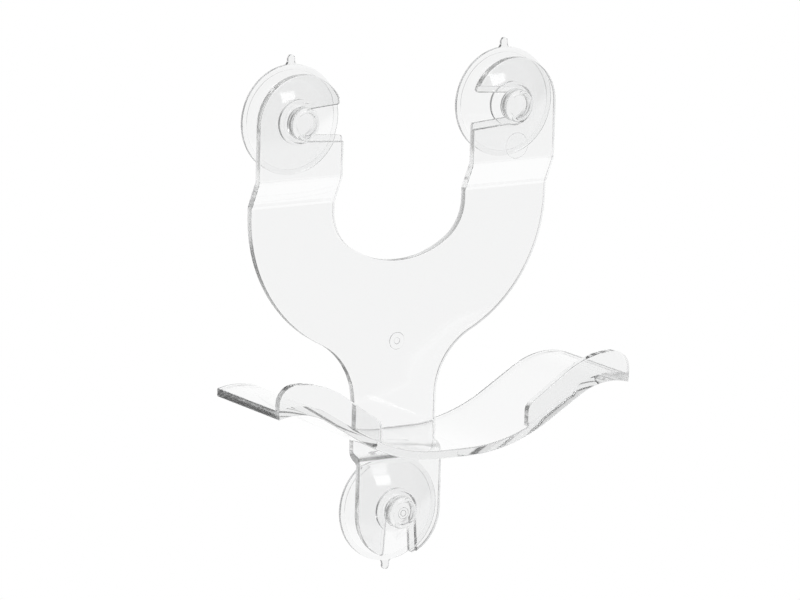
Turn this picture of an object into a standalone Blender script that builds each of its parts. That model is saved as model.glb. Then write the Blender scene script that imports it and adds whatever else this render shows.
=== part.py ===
"""Clear wall bracket for a pair of headphones, held on by three suction cups.

One moulded bracket carries the headband on a wavy saddle. Each cup has a mushroom head whose neck
sits in an open slot in one of the bracket's three tabs, and slides out along that slot.

Frame: +Z up, the wall is the plane Y = 0, the front faces -Y, X = 0 is the middle. The origin lies on
the wall, halfway between the axes of the two upper cups. Metres throughout.
"""

from math import acos, asin, cos, pi, radians, sin, tan

import bmesh
import bpy
from mathutils import Matrix, Vector

# Where the cups sit
CUP_OUT = 0.04525           # upper cup axes, each side of the middle
CUP_DROP = 0.1473           # bottom cup axis below the upper ones
PART_GAP = 0.0003           # air between a cup and the tab that it grips

# Bracket plate
WALL = 0.0030               # thickness of every wall of the moulding
TAB_HALF = 0.0175           # half the width of a tab, and the radius of its round end
TAB_BACK = 0.0069           # wall plane to the back of the tabs
PLATE_BACK = 0.0019         # wall plane to the back of the main plate
FORK_DEPTH = 0.0547         # bottom of the fork below the upper cups
FORK_CORNER = 0.0170        # radius of each lower corner of the fork
FORK_FLOOR = 0.0360         # radius of the shallow curve between those corners
BODY_ROUND = 0.05475        # radius of the plate's round outside, each side
BODY_BELOW = 0.0340         # centre of that round, below the upper cups
WAIST_FILLET = 0.0260       # where the round plate runs into the stem
UPPER_BEND_CLEAR = 0.0010   # upper discs to the bends below them
UPPER_BEND_RUN = 0.0100     # height of the sloping part below each upper tab
LOWER_STEP_CLEAR = 0.0008   # bottom disc to the step above it
LOWER_STEP_RUN = 0.0020     # height of the steep step above the bottom tab

# Slots
SEAT_CLEAR = 0.0008         # round seat, beyond the neck
THROAT_CLEAR = 0.00035      # slot beside the seat, beyond the neck
MOUTH_CLEAR = 0.0017        # slot at the tab's edge, beyond the neck
RECESS_WIDTH = 0.0025       # recess round the slot, in the tab's front, for the cup's head
RECESS_DEPTH = 0.0012

# Saddle
SADDLE_HALF = 0.0743        # half the saddle's length
SADDLE_OVER_CUP = 0.0310    # top of the saddle's valley above the bottom cup's axis
SADDLE_FRONT = 0.0463       # wall plane to the saddle's front edge
SADDLE_INSET = 0.0003       # saddle's back edge, in from the back of the plate
VALLEY_FLAT = 0.0060        # half the flat in the middle
VALLEY_RADIUS = 0.0620
CREST_RADIUS = 0.0280
CREST_INSET = 0.0073        # crest, in from the saddle's end
SLOPE = radians(31.5)

# Lips on the saddle's front edge
LIP_WALL = 0.0029
LIP_HEIGHT = 0.0081         # above the saddle's crest
LIP_SLOPE = radians(34)     # its top runs down to the middle a little steeper than the saddle
LIP_INNER = 0.0310          # inner end of each lip from the middle
LIP_ROOT = 0.0015           # depth that a lip is rooted in the saddle
LIP_INNER_ROUND = 0.0050
LIP_OUTER_ROUND = 0.0070

# Suction cup
DISC_RADIUS = 0.0200
RIM_THICK = 0.0016
RIM_FLAT = 0.0014           # flat ring that touches the wall
SHOULDER_RADIUS = 0.0083
SHOULDER_HEIGHT = 0.0012    # straight side of the shoulder, above the dome
DOME_WALL = 0.0016
DOME_CURVE = 1.25           # 1 is a straight cone, and more makes it swell below the shoulder
NECK_RADIUS = 0.0042
HEAD_STEP = 0.0018          # head beyond the neck all round, which holds the cup in its slot
HEAD_LENGTH = 0.0038
HEAD_ROUND = 0.0015         # round front edge of the head
DIMPLE_RADIUS = 0.0040
DIMPLE_DEPTH = 0.0003
PULL_LENGTH = 0.0036        # pull tab beyond the rim
PULL_TIP_WIDTH = 0.0030

CUP_SEGMENTS = 40
ARC_STEP = radians(6)       # largest step along a round outline


def clear_scene():
    for item in list(bpy.data.objects):
        bpy.data.objects.remove(item, do_unlink=True)


def make_material(name, color, roughness, alpha):
    material = bpy.data.materials.new(name)
    material.use_nodes = True
    shader = material.node_tree.nodes["Principled BSDF"]
    shader.inputs["Base Color"].default_value = (*color, 1.0)
    shader.inputs["Roughness"].default_value = roughness
    shader.inputs["Metallic"].default_value = 0.0
    shader.inputs["Transmission Weight"].default_value = 1.0
    shader.inputs["Alpha"].default_value = alpha
    return material


def add_object(name, mesh_data, material=None):
    item = bpy.data.objects.new(name, mesh_data)
    bpy.context.scene.collection.objects.link(item)
    if material and not mesh_data.materials:
        mesh_data.materials.append(material)
    return item


def make_guide(item):
    item.hide_render = True
    item.display_type = "WIRE"
    return item


def arc(center, radius, start, end):
    """Points along an arc in the X-Z plane, both ends included."""
    steps = max(2, round(abs(end - start) / ARC_STEP))
    angles = [start + (end - start) * i / steps for i in range(steps + 1)]
    return [(center[0] + radius * cos(a), center[1] + radius * sin(a)) for a in angles]


def prism(name, outline, low, high, along="Y"):
    """Closed outline, pushed from low to high along Y (outline in X, Z) or X (outline in Y, Z)."""
    shape = bmesh.new()
    if along == "Y":
        verts = [shape.verts.new((a, low, b)) for a, b in outline]
    else:
        verts = [shape.verts.new((low, a, b)) for a, b in outline]
    face = shape.faces.new(verts)
    pushed = bmesh.ops.extrude_face_region(shape, geom=[face])
    moved = [v for v in pushed["geom"] if isinstance(v, bmesh.types.BMVert)]
    push = Vector((0, high - low, 0)) if along == "Y" else Vector((high - low, 0, 0))
    bmesh.ops.translate(shape, verts=moved, vec=push)
    return finish_mesh(name, shape)


def finish_mesh(name, shape):
    bmesh.ops.remove_doubles(shape, verts=shape.verts, dist=1e-7)
    bmesh.ops.recalc_face_normals(shape, faces=shape.faces)
    mesh_data = bpy.data.meshes.new(name)
    shape.to_mesh(mesh_data)
    shape.free()
    return mesh_data


def boolean(item, other, operation):
    step = item.modifiers.new(other.name, "BOOLEAN")
    step.object = other
    step.operation = operation
    step.solver = "EXACT"


def front_outline():
    """Outline of the flat plate seen from the front: fork, round body, stem and three round tabs."""
    body_x = CUP_OUT + TAB_HALF - BODY_ROUND
    fillet_x = TAB_HALF + WAIST_FILLET
    waist_reach = BODY_ROUND + WAIST_FILLET
    waist_angle = acos((fillet_x - body_x) / waist_reach)
    fillet_z = -BODY_BELOW - waist_reach * sin(waist_angle)

    corner_x = CUP_OUT - TAB_HALF - FORK_CORNER
    corner_angle = acos(corner_x / (FORK_FLOOR - FORK_CORNER))
    floor_z = FORK_FLOOR - FORK_DEPTH
    corner_z = floor_z - (FORK_FLOOR - FORK_CORNER) * sin(corner_angle)

    half = arc((0, -CUP_DROP), TAB_HALF, -pi / 2, 0)
    half += arc((fillet_x, fillet_z), WAIST_FILLET, pi, pi - waist_angle)
    half += arc((body_x, -BODY_BELOW), BODY_ROUND, -waist_angle, 0)
    half += arc((CUP_OUT, 0), TAB_HALF, 0, pi)
    half += arc((corner_x, corner_z), FORK_CORNER, 0, -corner_angle)
    half += arc((0, floor_z), FORK_FLOOR, -corner_angle, -pi / 2)
    return half + [(-x, z) for x, z in reversed(half[1:-1])]


def plate_section():
    """Side view of the plate: upper tabs forward, main plate near the wall, bottom tab forward."""
    top = CUP_DROP
    bottom = -2 * CUP_DROP
    bend = -(DISC_RADIUS + UPPER_BEND_CLEAR)
    step = -CUP_DROP + DISC_RADIUS + LOWER_STEP_CLEAR
    front = [
        (-TAB_BACK - WALL, top),
        (-TAB_BACK - WALL, bend),
        (-PLATE_BACK - WALL, bend - UPPER_BEND_RUN),
        (-PLATE_BACK - WALL, step + LOWER_STEP_RUN),
        (-TAB_BACK - WALL, step),
        (-TAB_BACK - WALL, bottom),
    ]
    return front + list(reversed(offset_line(front, WALL)))


def offset_line(points, distance):
    """The polyline moved to its left by distance, with mitred corners."""
    moved = []
    for i, here in enumerate(points):
        before = unit(points[max(i - 1, 0)], points[max(i, 1)])
        after = unit(points[min(i, len(points) - 2)], points[min(i + 1, len(points) - 1)])
        side = Vector((-before.y - after.y, before.x + after.x)).normalized()
        stretch = distance / side.dot(Vector((-before.y, before.x)))
        moved.append((here[0] + side.x * stretch, here[1] + side.y * stretch))
    return moved


def unit(start, end):
    return (Vector(end) - Vector(start)).normalized()


def saddle_crest():
    """Middle of the crest's round, worked out from the valley and the slope between them."""
    crest_x = SADDLE_HALF - CREST_INSET
    rise_start = VALLEY_FLAT + VALLEY_RADIUS * sin(SLOPE)
    rise_end = crest_x - CREST_RADIUS * sin(SLOPE)
    rise = VALLEY_RADIUS * (1 - cos(SLOPE)) + (rise_end - rise_start) * tan(SLOPE)
    valley_z = -CUP_DROP + SADDLE_OVER_CUP
    return crest_x, valley_z + rise - CREST_RADIUS * cos(SLOPE)


def crest_arc(lift, slope):
    """The crest's round, lifted, from its sloping side to the saddle's end."""
    radius = CREST_RADIUS + lift
    end_angle = pi / 2 - asin(CREST_INSET / radius)
    return arc(saddle_crest(), radius, pi / 2 + slope, end_angle)


def saddle_top(lift=0.0):
    """Right half of the saddle's top line from the middle to the end, moved square to itself."""
    valley_z = -CUP_DROP + SADDLE_OVER_CUP
    valley_center = (VALLEY_FLAT, valley_z + VALLEY_RADIUS)
    line = [(0.0, valley_z + lift)]
    line += arc(valley_center, VALLEY_RADIUS - lift, -pi / 2, SLOPE - pi / 2)
    return line + crest_arc(lift, SLOPE)


def height_at(line, x):
    """Height of a line of points at x, where x grows along the line."""
    for (x0, z0), (x1, z1) in zip(line, line[1:]):
        if x0 <= x <= x1:
            return z0 + (z1 - z0) * (x - x0) / (x1 - x0)
    return line[-1][1]


def saddle_outline():
    top = saddle_top()
    under = saddle_top(-WALL)
    right = top + list(reversed(under))
    left = [(-x, z) for x, z in reversed(right[1:-1])]
    return right + left


def lip_outline():
    """Right lip: rooted in the saddle, with a round crest over it and two round upper corners."""
    crown = crest_arc(LIP_HEIGHT, LIP_SLOPE)
    root = saddle_top(-LIP_ROOT)
    inner_x = LIP_INNER + LIP_INNER_ROUND
    inner_z = crown[0][1] - (crown[0][0] - inner_x) * tan(LIP_SLOPE) - LIP_INNER_ROUND / cos(LIP_SLOPE)
    outer_x = SADDLE_HALF - LIP_OUTER_ROUND
    outer_z = height_at(crown, outer_x) - LIP_OUTER_ROUND

    outline = [(LIP_INNER, height_at(root, LIP_INNER))]
    outline += arc((inner_x, inner_z), LIP_INNER_ROUND, pi, pi / 2 + LIP_SLOPE)
    outline += [(x, z) for x, z in crown if x < outer_x - LIP_OUTER_ROUND / 8]
    outline += arc((outer_x, outer_z), LIP_OUTER_ROUND, pi / 2, 0)
    outline.append((SADDLE_HALF, height_at(root, SADDLE_HALF)))
    outline += [(x, z) for x, z in reversed(root) if LIP_INNER < x < SADDLE_HALF]
    return outline


def slot_outline(spare):
    """Keyhole, seat at the origin and mouth towards +X, grown outwards by spare."""
    seat = NECK_RADIUS + SEAT_CLEAR + spare
    throat = NECK_RADIUS + THROAT_CLEAR + spare
    mouth = NECK_RADIUS + MOUTH_CLEAR + spare
    opening = asin(throat / seat)
    seat_round = arc((0, 0), seat, opening, 2 * pi - opening)
    return seat_round + [(TAB_HALF + WALL, -mouth), (TAB_HALF + WALL, mouth)]


def cup_places():
    """Name, axis position and the turn about Y that points the slot's mouth the right way."""
    return {
        "left": ((-CUP_OUT, 0, 0), 0.0),
        "right": ((CUP_OUT, 0, 0), pi),
        "bottom": ((0, 0, -CUP_DROP), pi / 2),
    }


def make_bracket(material):
    wide = 2 * SADDLE_HALF
    section = prism("bracket", plate_section(), -wide, wide, along="X")
    bracket = add_object("bracket", section, material)

    plate = add_object("plate_outline", prism("plate_outline", front_outline(), -SADDLE_FRONT, WALL))
    saddle_back = -PLATE_BACK - SADDLE_INSET
    saddle = add_object("saddle", prism("saddle", saddle_outline(), -SADDLE_FRONT, saddle_back))
    lip_back = -SADDLE_FRONT + LIP_WALL
    right_lip = lip_outline()
    left_lip = [(-x, z) for x, z in right_lip]
    lips = [
        add_object("lip_right", prism("lip_right", right_lip, -SADDLE_FRONT, lip_back)),
        add_object("lip_left", prism("lip_left", left_lip, -SADDLE_FRONT, lip_back)),
    ]
    boolean(bracket, make_guide(plate), "INTERSECT")
    for piece in [saddle] + lips:
        boolean(bracket, make_guide(piece), "UNION")

    front = -TAB_BACK - WALL
    slot_mesh = prism("slot", slot_outline(0.0), front - WALL, -TAB_BACK + WALL)
    recess_mesh = prism("recess", slot_outline(RECESS_WIDTH), front - WALL, front + RECESS_DEPTH)
    for name, (place, turn) in cup_places().items():
        for mesh_data in (slot_mesh, recess_mesh):
            cutter = add_object(f"{mesh_data.name}_{name}", mesh_data)
            cutter.location = place
            cutter.rotation_euler = (0, turn, 0)
            boolean(bracket, make_guide(cutter), "DIFFERENCE")
    return bracket


def cup_profile():
    """Radius and Y from the head's middle, over the outside, to the middle of the hollow."""
    shoulder_y = -TAB_BACK + PART_GAP
    head_back = -TAB_BACK - WALL + RECESS_DEPTH - PART_GAP
    head_front = head_back - HEAD_LENGTH
    head_radius = NECK_RADIUS + HEAD_STEP
    dome_top = shoulder_y + SHOULDER_HEIGHT
    dome_rise = -RIM_THICK - dome_top
    dome_reach = DISC_RADIUS - SHOULDER_RADIUS

    outside = [
        (0.0, head_front + DIMPLE_DEPTH),
        (DIMPLE_RADIUS, head_front + DIMPLE_DEPTH),
        (DIMPLE_RADIUS + DIMPLE_DEPTH, head_front),
        *arc((head_radius - HEAD_ROUND, head_front + HEAD_ROUND), HEAD_ROUND, -pi / 2, 0)[::5],
        (head_radius, head_back),
        (NECK_RADIUS, head_back),
        (NECK_RADIUS, shoulder_y),
        (SHOULDER_RADIUS, shoulder_y),
    ]
    dome = []
    for i in range(7):
        share = i / 6
        dome.append((SHOULDER_RADIUS + dome_reach * share, dome_top + dome_rise * share ** DOME_CURVE))
    rim = [(DISC_RADIUS, 0.0), (DISC_RADIUS - RIM_FLAT, 0.0)]
    hollow = []
    for r, y in reversed(dome[:-1]):
        hollow.append((min(r, rim[-1][0]) - DOME_WALL / 2, y + DOME_WALL))
    hollow.append((0.0, hollow[-1][1]))
    return outside + dome + rim + hollow


def cup_mesh(name):
    """Turned cup about the Y axis, with its pull tab drawn out of the rim towards +Z."""
    shape = bmesh.new()
    verts = [shape.verts.new((0.0, y, r)) for r, y in cup_profile()]
    for a, b in zip(verts, verts[1:]):
        shape.edges.new((a, b))
    half_step = Matrix.Rotation(pi / CUP_SEGMENTS, 3, "Y")
    bmesh.ops.rotate(shape, verts=shape.verts, cent=(0, 0, 0), matrix=half_step)
    bmesh.ops.spin(
        shape, geom=shape.verts[:] + shape.edges[:], cent=(0, 0, 0), axis=(0, 1, 0),
        dvec=(0, 0, 0), angle=2 * pi, steps=CUP_SEGMENTS, use_merge=True,
    )
    bmesh.ops.remove_doubles(shape, verts=shape.verts, dist=1e-6)
    draw_pull_tab(shape)
    return finish_mesh(name, shape)


def draw_pull_tab(shape):
    """Pull the rim's outer faces next to +Z straight out, and narrow them to the tip."""
    base_width = 2 * DISC_RADIUS * sin(2 * pi / CUP_SEGMENTS)
    faces = []
    for face in shape.faces:
        middle = face.calc_center_median()
        on_rim = all(abs(Vector((v.co.x, v.co.z)).length - DISC_RADIUS) < 1e-5 for v in face.verts)
        if on_rim and middle.z > 0 and abs(middle.x) < base_width / 2:
            faces.append(face)
    heights = (0.55 * PULL_LENGTH, 0.85 * PULL_LENGTH, PULL_LENGTH)
    widths = (PULL_TIP_WIDTH * 1.1, PULL_TIP_WIDTH, PULL_TIP_WIDTH * 0.5)
    for height, width in zip(heights, widths):
        pushed = bmesh.ops.extrude_face_region(shape, geom=faces)
        bmesh.ops.delete(shape, geom=faces, context="FACES_ONLY")
        faces = [f for f in pushed["geom"] if isinstance(f, bmesh.types.BMFace)]
        tip = {v for f in faces for v in f.verts}
        widest = max(abs(v.co.x) for v in tip)
        for vert in tip:
            vert.co.x *= width / 2 / widest
            vert.co.z = DISC_RADIUS + height


def make_cup(name, place, turn, mesh_data, material):
    cup = add_object(f"suction_cup_{name}", mesh_data, material)
    cup.location = place
    cup.rotation_euler = (0, turn, 0)
    return cup


def main():
    clear_scene()
    clear_plastic = make_material("clear_rigid_plastic", (0.97, 0.98, 0.98), 0.04, 0.25)
    soft_plastic = make_material("clear_soft_plastic", (0.95, 0.97, 0.97), 0.10, 0.35)
    bracket = make_bracket(clear_plastic)

    shared = cup_mesh("suction_cup")
    for name, (place, _) in cup_places().items():
        turn = pi if name == "bottom" else 0.0
        make_cup(name, place, turn, shared, soft_plastic)

    for mesh_data in (bracket.data, shared):
        mesh_data.shade_smooth()
        mesh_data.set_sharp_from_angle(angle=radians(30))


main()
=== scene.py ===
from math import acos, asin, atan2, cos, pi, radians, sin, sqrt, tan

import bmesh
import bpy
from mathutils import Matrix, Quaternion, Vector


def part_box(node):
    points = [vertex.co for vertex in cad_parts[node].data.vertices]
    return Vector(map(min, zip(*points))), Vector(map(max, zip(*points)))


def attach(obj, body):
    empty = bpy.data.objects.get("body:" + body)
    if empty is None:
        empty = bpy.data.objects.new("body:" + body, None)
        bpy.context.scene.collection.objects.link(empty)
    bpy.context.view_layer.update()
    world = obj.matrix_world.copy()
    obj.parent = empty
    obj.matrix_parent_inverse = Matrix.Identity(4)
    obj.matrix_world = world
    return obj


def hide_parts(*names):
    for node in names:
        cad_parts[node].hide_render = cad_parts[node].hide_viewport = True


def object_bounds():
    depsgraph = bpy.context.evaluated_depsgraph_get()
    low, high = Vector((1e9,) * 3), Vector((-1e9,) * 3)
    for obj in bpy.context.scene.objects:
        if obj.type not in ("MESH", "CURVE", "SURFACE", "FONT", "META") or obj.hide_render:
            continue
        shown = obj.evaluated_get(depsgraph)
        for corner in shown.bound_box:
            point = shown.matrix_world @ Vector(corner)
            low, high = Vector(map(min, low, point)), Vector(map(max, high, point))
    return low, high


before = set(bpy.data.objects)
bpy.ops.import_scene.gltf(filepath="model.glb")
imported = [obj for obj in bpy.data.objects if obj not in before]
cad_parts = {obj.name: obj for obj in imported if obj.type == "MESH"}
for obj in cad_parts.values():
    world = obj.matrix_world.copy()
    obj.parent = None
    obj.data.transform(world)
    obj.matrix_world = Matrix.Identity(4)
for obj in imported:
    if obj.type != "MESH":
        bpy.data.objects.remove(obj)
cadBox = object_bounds()
print("frame loaded:", ", ".join(sorted(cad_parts)))

# Metres. The wall is the plane Y = 0, the front faces -Y, X runs to the right and Z up.
view = {
    "aim": (-0.0014, -0.0086, -0.0686),     # the point in the middle of the picture
    "distance": 2.6374,
    "yaw": radians(32.19),                  # the camera stands to the left of the front
    "elevation": radians(11.87),
    "roll": radians(1.52),
    "lens": 327.43,
}


def addCamera():
    yaw, elevation = view["yaw"], view["elevation"]
    look = Vector((sin(yaw) * cos(elevation), cos(yaw) * cos(elevation), -sin(elevation)))
    camera = bpy.data.objects.new("camera", bpy.data.cameras.new("camera"))
    camera.data.lens = view["lens"]
    camera.location = Vector(view["aim"]) - look * view["distance"]
    camera.rotation_mode = "QUATERNION"
    camera.rotation_quaternion = look.to_track_quat("-Z", "Y") @ Quaternion((0, 0, 1), view["roll"])
    bpy.context.scene.collection.objects.link(camera)
    bpy.context.scene.camera = camera


def addMesh(name, shape, paint=None):
    meshData = bpy.data.meshes.new(name)
    shape.to_mesh(meshData)
    shape.free()
    if paint:
        meshData.materials.append(paint)
    piece = bpy.data.objects.new(name, meshData)
    bpy.context.scene.collection.objects.link(piece)
    return piece


studio = {
    "horizon": 1.0,             # brightness round the horizon behind, and of the floor
    "front": 0.30,              # brightness in front, as a share of that
    "turn": (-0.25, 0.15),      # where the sky brightens from front to back, in Y of a unit direction
    "floorTurn": (-2.6, -1.0),  # and the floor, in metres
    "ceiling": 0.70,            # brightness straight above
    "haze": (0.20, 0.80),       # the sky darkens between these heights, as parts of a unit direction
    "floorDrop": 0.90,          # floor below the bottom cup's pull tab
    "floorSize": 60.0,
    "cardGrey": 0.02,
    "bounces": 32,              # the most that a ray makes in all
    "clearBounces": 24,         # and the most that it makes as a mirrored or as a bent ray
}
# Each stands round the aim: its turn from straight in front towards +X, its height as an angle,
# its distance, its width and height, and a softbox's brightness.
softboxes = {
    "softbox_front": (radians(19), radians(16), 2.0, (0.58, 0.37), 3.0),
}
flags = {
    "flag_front": (radians(33), radians(-13), 2.5, (1.10, 0.90)),
}


def addStudio():
    scene = bpy.context.scene
    scene.view_settings.view_transform = "Standard"
    scene.cycles.max_bounces = studio["bounces"]
    scene.cycles.glossy_bounces = studio["clearBounces"]
    scene.cycles.transmission_bounces = studio["clearBounces"]
    addSky()
    shape = bmesh.new()
    bmesh.ops.create_grid(shape, x_segments=1, y_segments=1, size=studio["floorSize"] / 2)
    bmesh.ops.translate(shape, verts=shape.verts, vec=(0, 0, cadBox[0].z - studio["floorDrop"]))
    addMesh("studio_floor", shape, floorPaint())
    for name, (turn, rise, distance, size, brightness) in softboxes.items():
        addSoftbox(name, aroundAim(turn, rise, distance), size, brightness)
    for name, (turn, rise, distance, size) in flags.items():
        addFlag(name, aroundAim(turn, rise, distance), size)


def aroundAim(turn, rise, distance):
    return Vector((sin(turn) * cos(rise), -cos(turn) * cos(rise), sin(rise))) * distance


def addSky():
    # white round the horizon behind, dimmer overhead and in front
    world = bpy.data.worlds.new("studio")
    world.use_nodes = True
    bpy.context.scene.world = world
    nodes, links = world.node_tree.nodes, world.node_tree.links
    direction = nodes.new("ShaderNodeTexCoord")
    parts = nodes.new("ShaderNodeSeparateXYZ")
    fade = nodes.new("ShaderNodeMapRange")
    fade.interpolation_type = "SMOOTHSTEP"
    fade.inputs["From Min"].default_value = studio["haze"][0]
    fade.inputs["From Max"].default_value = studio["haze"][1]
    fade.inputs["To Min"].default_value = studio["horizon"]
    fade.inputs["To Max"].default_value = studio["ceiling"]
    around = frontToBack(nodes, studio["turn"])
    both = nodes.new("ShaderNodeMath")
    both.operation = "MULTIPLY"
    links.new(direction.outputs["Generated"], parts.inputs["Vector"])
    links.new(parts.outputs["Z"], fade.inputs["Value"])
    links.new(parts.outputs["Y"], around.inputs["Value"])
    links.new(fade.outputs["Result"], both.inputs[0])
    links.new(around.outputs["Result"], both.inputs[1])
    links.new(both.outputs["Value"], nodes["Background"].inputs["Strength"])
    nodes["Background"].inputs["Color"].default_value = (1.0, 1.0, 1.0, 1.0)


def frontToBack(nodes, ends):
    rise = nodes.new("ShaderNodeMapRange")
    rise.interpolation_type = "SMOOTHSTEP"
    rise.inputs["From Min"].default_value = ends[0]
    rise.inputs["From Max"].default_value = ends[1]
    rise.inputs["To Min"].default_value = studio["front"]
    return rise


def floorPaint():
    paint = bpy.data.materials.new("studio_floor")
    paint.use_nodes = True
    nodes, links = paint.node_tree.nodes, paint.node_tree.links
    shader = nodes["Principled BSDF"]
    place = nodes.new("ShaderNodeTexCoord")
    parts = nodes.new("ShaderNodeSeparateXYZ")
    around = frontToBack(nodes, studio["floorTurn"])
    links.new(place.outputs["Object"], parts.inputs["Vector"])
    links.new(parts.outputs["Y"], around.inputs["Value"])
    links.new(around.outputs["Result"], shader.inputs["Emission Strength"])
    shader.inputs["Base Color"].default_value = (0.0, 0.0, 0.0, 1.0)
    shader.inputs["Roughness"].default_value = 1.0
    shader.inputs["Specular IOR Level"].default_value = 0.0
    shader.inputs["Emission Color"].default_value = (1.0, 1.0, 1.0, 1.0)
    return paint


def addSoftbox(name, offset, size, brightness):
    light = bpy.data.lights.new(name, "AREA")
    light.shape = "RECTANGLE"
    light.size, light.size_y = size
    light.energy = brightness * pi * size[0] * size[1]
    placeFacingAim(bpy.data.objects.new(name, light), offset)


def addFlag(name, offset, size):
    # black card that gives the plastic something dark to mirror, and that isn't seen directly or through it
    shape = bmesh.new()
    bmesh.ops.create_grid(shape, x_segments=1, y_segments=1, size=0.5)
    bmesh.ops.scale(shape, verts=shape.verts, vec=(size[0], size[1], 1))
    paint = bpy.data.materials.new(name)
    paint.use_nodes = True
    black = (studio["cardGrey"],) * 3
    paint.node_tree.nodes["Principled BSDF"].inputs["Base Color"].default_value = (*black, 1.0)
    flag = addMesh(name, shape, paint)
    flag.visible_camera = False
    flag.visible_transmission = False
    placeFacingAim(flag, offset)


def placeFacingAim(item, offset):
    item.location = Vector(view["aim"]) + offset
    item.rotation_euler = (-offset).to_track_quat("-Z", "Y").to_euler()
    if item.name not in bpy.context.scene.collection.objects:
        bpy.context.scene.collection.objects.link(item)


# The pen draws outlines in the X-Z plane: lines to a point, and arcs turned about a centre.
# A small round says how many steps it takes.
arcStep = radians(2.5)
weldGap = 1e-6
sharpAngle = radians(40)        # edges that fold more are rounded


def drawPath(shape, start, moves):
    tip = shape.verts.new((start[0], 0, start[1]))
    for x, z, *turn in moves:
        if turn:                # an arc about the centre x, z, where a positive turn runs from X to Z
            steps = turn[1] if len(turn) > 1 else max(3, round(abs(turn[0]) / arcStep))
            made = bmesh.ops.spin(
                shape, geom=[tip], cent=(x, 0, z), axis=(0, -1, 0), dvec=(0, 0, 0),
                angle=turn[0], steps=steps, use_merge=False, use_duplicate=False,
            )
            tip = made["geom_last"][0]
        else:
            end = shape.verts.new((x, 0, z))
            shape.edges.new((tip, end))
            tip = end
    bmesh.ops.remove_doubles(shape, verts=shape.verts, dist=weldGap)


def mirrorX(shape):
    everything = shape.verts[:] + shape.edges[:] + shape.faces[:]
    bmesh.ops.mirror(shape, geom=everything, matrix=Matrix(), merge_dist=weldGap, axis="X")
    bmesh.ops.remove_doubles(shape, verts=shape.verts, dist=weldGap)


def pushOutline(shape, low, high):
    # closes the outline with one face and gives it depth along Y
    bmesh.ops.contextual_create(shape, geom=shape.edges[:])
    bmesh.ops.translate(shape, verts=shape.verts, vec=(0, low, 0))
    pushed = bmesh.ops.extrude_face_region(shape, geom=shape.faces[:])
    moved = [v for v in pushed["geom"] if isinstance(v, bmesh.types.BMVert)]
    bmesh.ops.translate(shape, verts=moved, vec=(0, high - low, 0))
    bmesh.ops.recalc_face_normals(shape, faces=shape.faces)


def roundEdges(shape, edges, width, segments=3):
    bmesh.ops.bevel(
        shape, geom=edges, offset=width, offset_type="OFFSET", affect="EDGES", segments=segments,
        profile=0.5, material=-1, clamp_overlap=False, loop_slide=True,
    )


def turnAround(shape, segments):
    # spins a half section drawn with X as radius and Z as height, and lays its axis along -Y
    turnShape(shape, pi / segments, "Z")
    bmesh.ops.spin(
        shape, geom=shape.verts[:] + shape.edges[:], cent=(0, 0, 0), axis=(0, 0, 1), dvec=(0, 0, 0),
        angle=2 * pi, steps=segments, use_merge=True, use_duplicate=False,
    )
    bmesh.ops.remove_doubles(shape, verts=shape.verts, dist=weldGap)
    turnShape(shape, pi / 2, "X")
    bmesh.ops.recalc_face_normals(shape, faces=shape.faces)


def turnShape(shape, angle, axis):
    bmesh.ops.rotate(shape, verts=shape.verts, cent=(0, 0, 0), matrix=Matrix.Rotation(angle, 3, axis))


def sharpEdges(shape):
    return [e for e in shape.edges if e.is_manifold and e.calc_face_angle(0) > sharpAngle]


def combine(piece, others, operation):
    # adds or cuts the other shapes, and keeps the result as the piece's own mesh
    for other in others:
        step = piece.modifiers.new(other.name, "BOOLEAN")
        step.object = other
        step.operation = operation
        step.solver = "EXACT"
        evaluated = piece.evaluated_get(bpy.context.evaluated_depsgraph_get())
        finished = bpy.data.meshes.new_from_object(evaluated)
        piece.modifiers.clear()
        piece.data = finished
        bpy.data.objects.remove(other, do_unlink=True)


plate = {
    "wall": 0.0030,
    "tabHalf": 0.0175,          # half a tab's width, and the radius of its round end
    "tabBack": 0.0069,          # wall plane to the back of the tabs
    "back": 0.0019,             # wall plane to the back of the main plate
    "forkDepth": 0.0547,
    "forkCorner": 0.0170,
    "forkFloor": 0.0360,
    "bodyRound": 0.05475,
    "bodyBelow": 0.0340,
    "waistFillet": 0.0260,
    "upperBend": (0.0210, 0.0310),      # the slope's top and bottom, below the upper cups' axes
    "lowerStep": (0.0208, 0.0228),      # the step's bottom and top, above the bottom cup's axis
    "bendRound": 0.0010,                # inside radius of the bends, and the steps in each
    "bendSteps": 8,
    "edgeRound": 0.00035,
    "seat": 0.0050,             # slot: its round seat, and half the width of throat and mouth
    "throat": 0.00455,
    "mouth": 0.0057,
    "mouthRound": 0.0010,       # corners beside the mouth, and the steps in each
    "mouthSteps": 8,
    "recessWidth": 0.0025,      # recess round the slot, in the tab's front, for the cup's head
    "recessDeep": 0.0012,
    "recessDraft": 0.00035,     # how much narrower the recess is at its floor, each side
}


def slotSide(grow=0.0):
    # Beside a slot, u runs out to its mouth and v away from its middle. Gives half the angle that the seat
    # opens by, the point where its round meets the slot's side, and how far that side leans outwards.
    seat, throat, mouth = (plate[k] + grow for k in ("seat", "throat", "mouth"))
    opening = asin(throat / seat)
    start = Vector((seat * cos(opening), throat))
    return opening, start, atan2(mouth - throat, plate["tabHalf"] - start.x)


def mouthCorner(roundTab):
    # the middle of the mouth's rounded corner, where it leaves the slot's side, and its turn
    wide, radius = plate["tabHalf"], plate["mouthRound"]
    _, start, lean = slotSide()
    along, across = Vector((cos(lean), sin(lean))), Vector((-sin(lean), cos(lean)))
    base = start + across * radius
    if roundTab:
        onward = base.dot(along)
        middle = base + along * (sqrt(onward ** 2 - base.length_squared + (wide - radius) ** 2) - onward)
        turn = atan2(middle.y, middle.x) + pi / 2 - lean
    else:
        middle = base + along * (wide - radius - base.x) / cos(lean)
        turn = pi / 2 - lean
    return middle, middle - across * radius, turn


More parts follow.
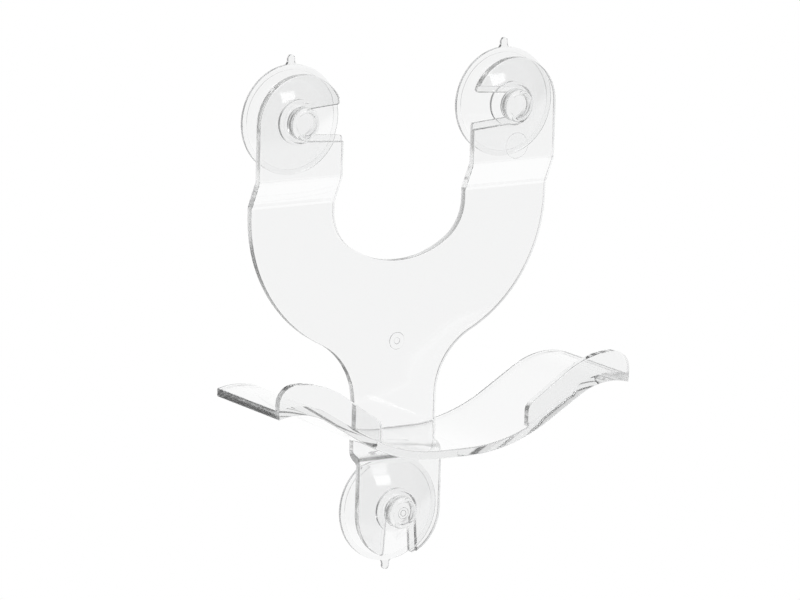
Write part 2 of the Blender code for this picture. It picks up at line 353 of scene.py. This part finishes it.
def plateOutline(places):
    wide = plate["tabHalf"]
    out, drop = places["right"].x, -places["bottom"].z
    seat = plate["seat"]
    opening, throat, _ = slotSide()
    (u, v), (edgeU, edgeV), turn = mouthCorner(True)
    (lowU, lowV), (lowEdgeU, lowEdgeV), lowTurn = mouthCorner(False)
    mouthAngle = atan2(v, u)

    bodyX = out + wide - plate["bodyRound"]
    filletX = wide + plate["waistFillet"]
    waistReach = plate["bodyRound"] + plate["waistFillet"]
    waist = acos((filletX - bodyX) / waistReach)
    filletZ = -plate["bodyBelow"] - waistReach * sin(waist)

    cornerX = out - wide - plate["forkCorner"]
    corner = acos(cornerX / (plate["forkFloor"] - plate["forkCorner"]))
    floorZ = plate["forkFloor"] - plate["forkDepth"]
    cornerZ = floorZ - (plate["forkFloor"] - plate["forkCorner"]) * sin(corner)

    shape = bmesh.new()
    drawPath(shape, (0, seat - drop), [
        (0, -drop, opening - pi),                       # round the bottom slot's seat
        (edgeV, -drop - edgeU),
        (v, -drop - u, turn, plate["mouthSteps"]),
        (0, -drop, pi / 2 - mouthAngle),                # the bottom tab's round end
        (wide, filletZ),
        (filletX, filletZ, -waist),
        (bodyX, -plate["bodyBelow"], waist),
        (out + wide, 0),
        (out, 0, pi - mouthAngle),                      # over the upper tab to its slot
        (out - u, v, turn, plate["mouthSteps"]),
        (out - throat.x, throat.y),
        (out, 0, 2 * opening - 2 * pi),                 # round the seat
        (out - lowEdgeU, -lowEdgeV),
        (out - lowU, -lowV, lowTurn, plate["mouthSteps"]),
        (out - wide, cornerZ),
        (cornerX, cornerZ, -corner),
        (0, floorZ, corner - pi / 2),
    ])
    mirrorX(shape)
    return shape


def plateSection(places):
    # side view: the front line through its bends, made wide in X, rounded and given the wall's thickness
    wall, drop = plate["wall"], -places["bottom"].z
    near, far = -plate["back"] - wall, -plate["tabBack"] - wall
    reach = 2 * plate["tabHalf"]
    line = [(far, reach)]
    line += [(y, -z) for y, z in zip((far, near), plate["upperBend"])]
    line += [(y, z - drop) for y, z in zip((near, far), reversed(plate["lowerStep"]))]
    line += [(far, -drop - reach)]

    shape = bmesh.new()
    verts = [shape.verts.new((-2 * reach, y, z)) for y, z in line]
    edges = [shape.edges.new(pair) for pair in zip(verts, verts[1:])]
    pushed = bmesh.ops.extrude_edge_only(shape, edges=edges)
    moved = [v for v in pushed["geom"] if isinstance(v, bmesh.types.BMVert)]
    bmesh.ops.translate(shape, verts=moved, vec=(4 * reach, 0, 0))
    bmesh.ops.recalc_face_normals(shape, faces=shape.faces)
    if shape.faces[:][0].normal.y < 0:
        bmesh.ops.reverse_faces(shape, faces=shape.faces)
    for level, radius in ((far, plate["bendRound"] + wall), (near, plate["bendRound"])):
        for edge in [e for e in shape.edges if e.is_manifold and abs(e.verts[0].co.y - level) < weldGap]:
            width = radius * tan(edge.calc_face_angle() / 2)
            roundEdges(shape, [edge], width, segments=plate["bendSteps"])
    bmesh.ops.solidify(shape, geom=shape.faces[:], thickness=-wall)
    bmesh.ops.recalc_face_normals(shape, faces=shape.faces)
    return shape


def slotRecess(place, turn):
    # cutter for the recess: the keyhole widened, out past the tab's edge, and a little narrower at its floor
    grow = plate["recessWidth"]
    opening, start, lean = slotSide(grow)
    far = plate["tabHalf"] + 3 * grow
    farHalf = start.y + (far - start.x) * tan(lean)
    shape = bmesh.new()
    drawPath(shape, (-start.x, start.y), [
        (0, 0, 2 * opening - 2 * pi), (-far, -farHalf), (-far, farHalf), (-start.x, start.y),
    ])
    front = -plate["tabBack"] - plate["wall"]
    pushOutline(shape, front - plate["wall"], front)
    floor = [f for f in shape.faces if f.normal.y > 0.9]
    bmesh.ops.inset_region(
        shape, faces=floor, thickness=plate["recessDraft"], depth=plate["recessDeep"], use_even_offset=True,
    )
    turnShape(shape, turn, "Y")
    bmesh.ops.translate(shape, verts=shape.verts, vec=place)
    return shape


# Round marks that the mould leaves: the middle in X and Z, the face's place in Y, the groove's inner and
# outer radius, and its depth.
marks = {
    "gate_mark": ((0.0011, -0.0850), -plate["back"], (0.0011, 0.0032), 0.00025),
    "ejector_mark": ((0.0474, -0.0155), -plate["tabBack"], (0.0046, 0.0048), 0.00010),
}
markSegments = 64


def markCutter(middle, level, radii, deep):
    # ring with sloping sides, standing through the back of the plate
    slope = deep / 2
    inner, outer = radii
    shape = bmesh.new()
    drawPath(shape, (inner - slope, -deep), [
        (outer + slope, -deep), (outer - slope, deep), (inner + slope, deep), (inner - slope, -deep),
    ])
    turnAround(shape, markSegments)
    bmesh.ops.translate(shape, verts=shape.verts, vec=(middle[0], level, middle[1]))
    return shape


saddle = {
    "half": 0.0743,
    "overCup": 0.0310,          # the valley's top above the bottom cup's axis
    "front": 0.0463,            # wall plane to the front edge
    "inset": 0.0003,            # back edge, in from the back of the plate
    "valleyFlat": 0.0060,
    "valleyRound": 0.0620,
    "crestRound": 0.0280,
    "crestIn": 0.0073,          # crest, in from the end
    "slope": radians(31.5),
    "edgeRound": 0.00035,
    "backRound": 0.0011,        # back edges, inside the plate's wall
}


def saddleLine(places):
    # centre of the valley's round, centre of the crest's round, and the valley's height
    slope, big, small = saddle["slope"], saddle["valleyRound"], saddle["crestRound"]
    valleyZ = places["bottom"].z + saddle["overCup"]
    crestX = saddle["half"] - saddle["crestIn"]
    run = crestX - small * sin(slope) - saddle["valleyFlat"] - big * sin(slope)
    crestZ = valleyZ + big * (1 - cos(slope)) + run * tan(slope) - small * cos(slope)
    return (saddle["valleyFlat"], valleyZ + big), (crestX, crestZ), valleyZ


def crestEnd(radius):
    # turn from straight up to the saddle's end, on a round of that radius about the crest's centre
    return asin(saddle["crestIn"] / radius)


def saddleShape(places):
    valley, crest, valleyZ = saddleLine(places)
    wall, slope = plate["wall"], saddle["slope"]
    top, under = saddle["crestRound"], saddle["crestRound"] - wall
    valleyUnder = saddle["valleyRound"] + wall
    shape = bmesh.new()
    drawPath(shape, (0, valleyZ), [
        (valley[0], valleyZ),
        (*valley, slope),
        (crest[0] - top * sin(slope), crest[1] + top * cos(slope)),
        (*crest, -slope - crestEnd(top)),
        (saddle["half"], crest[1] + under * cos(crestEnd(under))),
        (*crest, slope + crestEnd(under)),
        (valley[0] + valleyUnder * sin(slope), valley[1] - valleyUnder * cos(slope)),
        (*valley, -slope),
        (0, valleyZ - wall),
    ])
    mirrorX(shape)
    back = -plate["back"] - saddle["inset"]
    pushOutline(shape, -saddle["front"], back)
    backEdges = [e for e in sharpEdges(shape) if all(abs(v.co.y - back) < weldGap for v in e.verts)]
    roundEdges(shape, backEdges, saddle["backRound"])
    roundEdges(shape, sharpEdges(shape), saddle["edgeRound"])
    return shape


lip = {
    "wall": 0.0029,
    "high": 0.0081,             # above the saddle's crest
    "slope": radians(34),
    "inner": 0.0310,            # inner end from the middle
    "root": 0.0015,             # depth in the saddle
    "innerRound": 0.0050,
    "outerRound": 0.0070,
    "edgeRound": 0.00035,
}


def lipShape(places, side):
    # one lip, drawn for the right: up its inner end, over the crown, down its outer end, back in the saddle
    valley, crest, _ = saddleLine(places)
    slope, crown = lip["slope"], saddle["crestRound"] + lip["high"]
    rooted = saddle["crestRound"] - lip["root"]
    rampX, rampZ = crest[0] - crown * sin(slope), crest[1] + crown * cos(slope)
    small, large = lip["innerRound"], lip["outerRound"]
    innerX = lip["inner"] + small
    innerZ = rampZ - (rampX - innerX) * tan(slope) - small / cos(slope)
    outerX = saddle["half"] - large
    join = asin((outerX - crest[0]) / (crown - large))       # where the crown meets the outer round
    outerZ = crest[1] + (crown - large) * cos(join)
    rootDrop = saddle["valleyRound"] + lip["root"]
    lean = asin((lip["inner"] - valley[0]) / rootDrop)
    shape = bmesh.new()
    drawPath(shape, (lip["inner"], valley[1] - rootDrop * cos(lean)), [
        (lip["inner"], innerZ),
        (innerX, innerZ, slope - pi / 2),
        (rampX, rampZ),
        (*crest, -slope - join),
        (outerX, outerZ, join - pi / 2),
        (saddle["half"], crest[1] + rooted * cos(crestEnd(rooted))),
        (*crest, saddle["slope"] + crestEnd(rooted)),
        (valley[0] + rootDrop * sin(saddle["slope"]), valley[1] - rootDrop * cos(saddle["slope"])),
        (*valley, lean - saddle["slope"]),
    ])
    front = -saddle["front"]
    pushOutline(shape, front, front + lip["wall"])
    crownEdges = [e for e in sharpEdges(shape) if isAboveSaddle(e, places)]
    roundEdges(shape, crownEdges, lip["edgeRound"])
    if side == "left":
        bmesh.ops.scale(shape, verts=shape.verts, vec=(-1, 1, 1))
        bmesh.ops.recalc_face_normals(shape, faces=shape.faces)
    return shape


def isAboveSaddle(edge, places):
    valley, crest, _ = saddleLine(places)
    middle = (edge.verts[0].co + edge.verts[1].co) / 2
    fromCrest = Vector((middle.x - crest[0], middle.z - crest[1]))
    fromValley = Vector((middle.x - valley[0], middle.z - valley[1]))
    return fromCrest.length > saddle["crestRound"] and fromValley.length < saddle["valleyRound"]


def makeBracket(places, paint):
    outline = plateOutline(places)
    pushOutline(outline, -2 * plate["tabBack"], 0)
    bracket = addMesh("clear_bracket", outline, paint)
    combine(bracket, [addMesh("section", plateSection(places))], "INTERSECT")

    shape = bmesh.new()
    shape.from_mesh(bracket.data)
    bmesh.ops.remove_doubles(shape, verts=shape.verts, dist=weldGap)
    roundEdges(shape, sharpEdges(shape), plate["edgeRound"])
    shape.to_mesh(bracket.data)
    shape.free()

    turns = {"left": pi, "right": 0, "bottom": -pi / 2}         # from a slot that opens to the left
    recesses = [addMesh("recess_" + side, slotRecess(place, turns[side])) for side, place in places.items()]
    combine(bracket, recesses, "DIFFERENCE")
    combine(bracket, [addMesh(name, markCutter(*mark)) for name, mark in marks.items()], "DIFFERENCE")

    others = [addMesh("saddle", saddleShape(places))]
    others += [addMesh("lip_" + side, lipShape(places, side)) for side in ("left", "right")]
    combine(bracket, others, "UNION")

    bracket.data.materials.clear()
    bracket.data.materials.append(paint)
    markRims(bracket.data, places)
    finishPiece(bracket, "bracket", ["bracket"])
    return bracket


rims = {
    "below": -0.010,            # heights between which a face may lie on the saddle, from the valley's top
    "above": 0.039,
    "leanSpare": 0.01,          # allowed past the steepest lean of the saddle's faces, as a cosine
    "flatShare": 0.5,           # faces that look further to front or back than this are broad ones
}


def markRims(meshData, places):
    # 1 on the narrow faces round the plate, the lips and the saddle's ends, which are less polished
    valleyZ = places["bottom"].z + saddle["overCup"]
    low, high = valleyZ + rims["below"], valleyZ + rims["above"]
    leastUp = cos(saddle["slope"]) - rims["leanSpare"]
    attribute = meshData.attributes.new("rim", "FLOAT", "FACE")
    for face, rim in zip(meshData.polygons, attribute.data):
        onWave = low < face.center.z < high and abs(face.normal.z) > leastUp
        rim.value = 0.0 if abs(face.normal.y) > rims["flatShare"] or onWave else 1.0


softAngle = radians(32)         # edges that fold less are shaded as round


def finishPiece(piece, body, nodes):
    piece.data.shade_smooth()
    piece.data.set_sharp_from_angle(angle=softAngle)
    soften = piece.modifiers.new("weighted_normals", "WEIGHTED_NORMAL")
    soften.keep_sharp = True
    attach(piece, body)
    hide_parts(*nodes)


cup = {
    "radius": 0.0200,
    "rimThick": 0.0016,
    "rimFlat": 0.0014,          # flat ring that touches the wall
    "shoulder": 0.0083,
    "shoulderHigh": 0.0012,
    "domeWall": 0.0016,
    "domeCurve": 1.25,          # how the dome swells between shoulder and rim
    "domeSteps": 22,
    "hollowLow": 0.0001,        # least height of the hollow's outer edge off the wall
    "neck": 0.0042,
    "gap": 0.0003,              # between the cup and the tab it grips
    "head": 0.0060,
    "headLong": 0.0038,
    "headRound": 0.0015,
    "headSteps": 12,
    "dimple": 0.0040,
    "dimpleDeep": 0.0003,
    "edgeRound": 0.00025,
    "edgeSteps": 4,
    "segments": 144,
    "ringWide": 0.00012,        # fine rings on the bottom cup's head
    "rings": (0.0011, 0.0021),
}


def cupPlaces():
    places = {}
    for side in ("left", "right", "bottom"):
        low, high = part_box("suction_cup_" + side)
        z = high.z - cup["radius"] if side == "bottom" else low.z + cup["radius"]
        places[side] = Vector(((low.x + high.x) / 2, 0, z))
    return places


def cupShape(rings):
    # half section drawn with X as radius and Z off the wall, from the head's middle round to the hollow
    tabBack, wall, gap = plate["tabBack"], plate["wall"], cup["gap"]
    shoulderZ = tabBack - gap
    headZ = tabBack + wall - plate["recessDeep"] + gap
    frontZ = headZ + cup["headLong"]
    domeZ = shoulderZ - cup["shoulderHigh"]
    headRound, edgeRound, deep = cup["headRound"], cup["edgeRound"], cup["dimpleDeep"]
    radius, shoulder, head = cup["radius"], cup["shoulder"], cup["head"]
    dome = []
    for i in range(cup["domeSteps"] + 1):
        share = i / cup["domeSteps"]
        height = domeZ - (domeZ - cup["rimThick"]) * share ** cup["domeCurve"]
        dome.append((shoulder + (radius - edgeRound - shoulder) * share, height))
    # the hollow follows the dome inside, down to where it would meet the flat rim
    flat = radius - cup["rimFlat"]
    domeWall = cup["domeWall"]
    inside = [(r, z) for r, z in reversed(dome) if z > domeWall + cup["hollowLow"]]
    hollow = [(min(r, flat) - domeWall / 2, z - domeWall) for r, z in inside]
    grooves = [
        (r + step * cup["ringWide"], frontZ - deep * (2 - abs(step))) for r in rings for step in (-1, 0, 1)
    ]
    shape = bmesh.new()
    drawPath(shape, (0, frontZ - deep), [
        *grooves,
        (cup["dimple"], frontZ - deep),
        (cup["dimple"] + deep, frontZ),
        (head - headRound, frontZ),
        (head - headRound, frontZ - headRound, -pi / 2, cup["headSteps"]),
        (head, headZ),
        (cup["neck"], headZ),
        (cup["neck"], shoulderZ),
        (shoulder - edgeRound, shoulderZ),
        (shoulder - edgeRound, shoulderZ - edgeRound, -pi / 2, cup["edgeSteps"]),
        *dome,
        (radius - edgeRound, cup["rimThick"] - edgeRound, -pi / 2, cup["edgeSteps"]),
        (radius, edgeRound),
        (radius - edgeRound, edgeRound, -pi / 2, cup["edgeSteps"]),
        (flat, 0),
        *hollow,
        (0, hollow[-1][1]),
    ])
    turnAround(shape, cup["segments"])
    return shape


pull = {
    "long": 0.0035,             # beyond the rim
    "half": 0.00145,            # half its width, and the radius of its tip and of its fillets
    "root": 0.0010,             # depth in the rim
    "footShare": 0.7,           # straight part of the foot, as a share of that depth
    "inset": 0.00008,           # in from both faces of the rim
    "steps": 12,
}


def pullShape():
    # tongue drawn out of the rim: a wide foot, fillets and a round tip
    half, steps = pull["half"], pull["steps"]
    tipZ = cup["radius"] + pull["long"] - half
    foot = cup["radius"] - pull["root"]
    filletZ = foot + pull["footShare"] * pull["root"] + half
    shape = bmesh.new()
    drawPath(shape, (0, foot), [
        (2 * half, foot), (2 * half, filletZ - half), (2 * half, filletZ, -pi / 2, steps), (half, tipZ),
        (0, tipZ, pi / 2, steps),
    ])
    mirrorX(shape)
    pushOutline(shape, pull["inset"] - cup["rimThick"], -pull["inset"])
    roundEdges(shape, sharpEdges(shape), cup["edgeRound"])
    return shape


def makeCup(side, place, paint):
    node = "suction_cup_" + side
    piece = addMesh("clear_" + node, cupShape(cup["rings"] if side == "bottom" else ()), paint)
    combine(piece, [addMesh("pull_tab", pullShape())], "UNION")
    shape = bmesh.new()
    shape.from_mesh(piece.data)
    if side == "bottom":
        turnShape(shape, pi, "Y")
    bmesh.ops.translate(shape, verts=shape.verts, vec=place)
    shape.to_mesh(piece.data)
    shape.free()
    piece.data.materials.clear()
    piece.data.materials.append(paint)
    finishPiece(piece, "cup_" + side, [node])


innerTint = (0.50, 0.51, 0.51)      # a finish's density takes up 1 less this of each colour, inside


def clearPlastic(name, finish):
    paint = bpy.data.materials.new(name)
    paint.use_nodes = True
    nodes, links = paint.node_tree.nodes, paint.node_tree.links
    shader = nodes["Principled BSDF"]
    shader.inputs["Base Color"].default_value = (*finish["tint"], 1.0)
    shader.inputs["IOR"].default_value = finish["ior"]
    shader.inputs["Transmission Weight"].default_value = 1.0
    body = nodes.new("ShaderNodeVolumeAbsorption")
    body.inputs["Color"].default_value = (*innerTint, 1.0)
    body.inputs["Density"].default_value = finish["density"]
    links.new(body.outputs["Volume"], nodes["Material Output"].inputs["Volume"])

    # slow waves in the moulded surface
    place = nodes.new("ShaderNodeTexCoord")
    waves = nodes.new("ShaderNodeTexNoise")
    waves.inputs["Scale"].default_value = finish["waveScale"]
    waves.inputs["Detail"].default_value = 2.0
    bump = nodes.new("ShaderNodeBump")
    bump.inputs["Strength"].default_value = 1.0
    bump.inputs["Distance"].default_value = finish["waveDeep"]
    links.new(place.outputs["Object"], waves.inputs["Vector"])
    links.new(waves.outputs["Fac"], bump.inputs["Height"])
    links.new(bump.outputs["Normal"], shader.inputs["Normal"])

    # a little haze where the surface was handled, and less polish on the narrow faces
    wear = nodes.new("ShaderNodeTexNoise")
    wear.inputs["Scale"].default_value = finish["wearScale"]
    wear.inputs["Detail"].default_value = 6.0
    wear.inputs["Roughness"].default_value = 0.7
    haze = nodes.new("ShaderNodeMapRange")
    haze.inputs["From Min"].default_value = 0.5
    haze.inputs["From Max"].default_value = 0.8
    haze.inputs["To Min"].default_value = finish["gloss"][0]
    haze.inputs["To Max"].default_value = finish["gloss"][1]
    links.new(place.outputs["Object"], wear.inputs["Vector"])
    links.new(wear.outputs["Fac"], haze.inputs["Value"])
    links.new(haze.outputs["Result"], shader.inputs["Roughness"])
    if "rimRough" in finish:
        rim = nodes.new("ShaderNodeAttribute")
        rim.attribute_name = "rim"
        dull = nodes.new("ShaderNodeMath")
        dull.operation = "MULTIPLY_ADD"
        dull.inputs[1].default_value = finish["rimRough"]
        links.new(rim.outputs["Fac"], dull.inputs[0])
        links.new(haze.outputs["Result"], dull.inputs[2])
        links.new(dull.outputs["Value"], shader.inputs["Roughness"])
    return paint


finishes = {
    "clear_rigid_plastic": {
        "tint": (0.985, 0.987, 0.987),
        "ior": 1.55,
        "density": 4.0,             # of the light taken up inside, per metre
        "waveScale": 90.0,
        "waveDeep": 0.000004,
        "wearScale": 260.0,
        "gloss": (0.0, 0.05),
        "rimRough": 0.20,           # more on the faces that markRims marks
    },
    "clear_soft_plastic": {
        "tint": (0.970, 0.972, 0.972),
        "ior": 1.53,
        "density": 10.0,
        "waveScale": 160.0,
        "waveDeep": 0.000010,
        "wearScale": 420.0,
        "gloss": (0.05, 0.10),
    },
}
addCamera()
addStudio()
print("studio ready")
places = cupPlaces()
paints = {name: clearPlastic(name, finish) for name, finish in finishes.items()}
bracket = makeBracket(places, paints["clear_rigid_plastic"])
print("bracket:", len(bracket.data.polygons), "faces")
for side, place in places.items():
    makeCup(side, place, paints["clear_soft_plastic"])
print("cups ready")
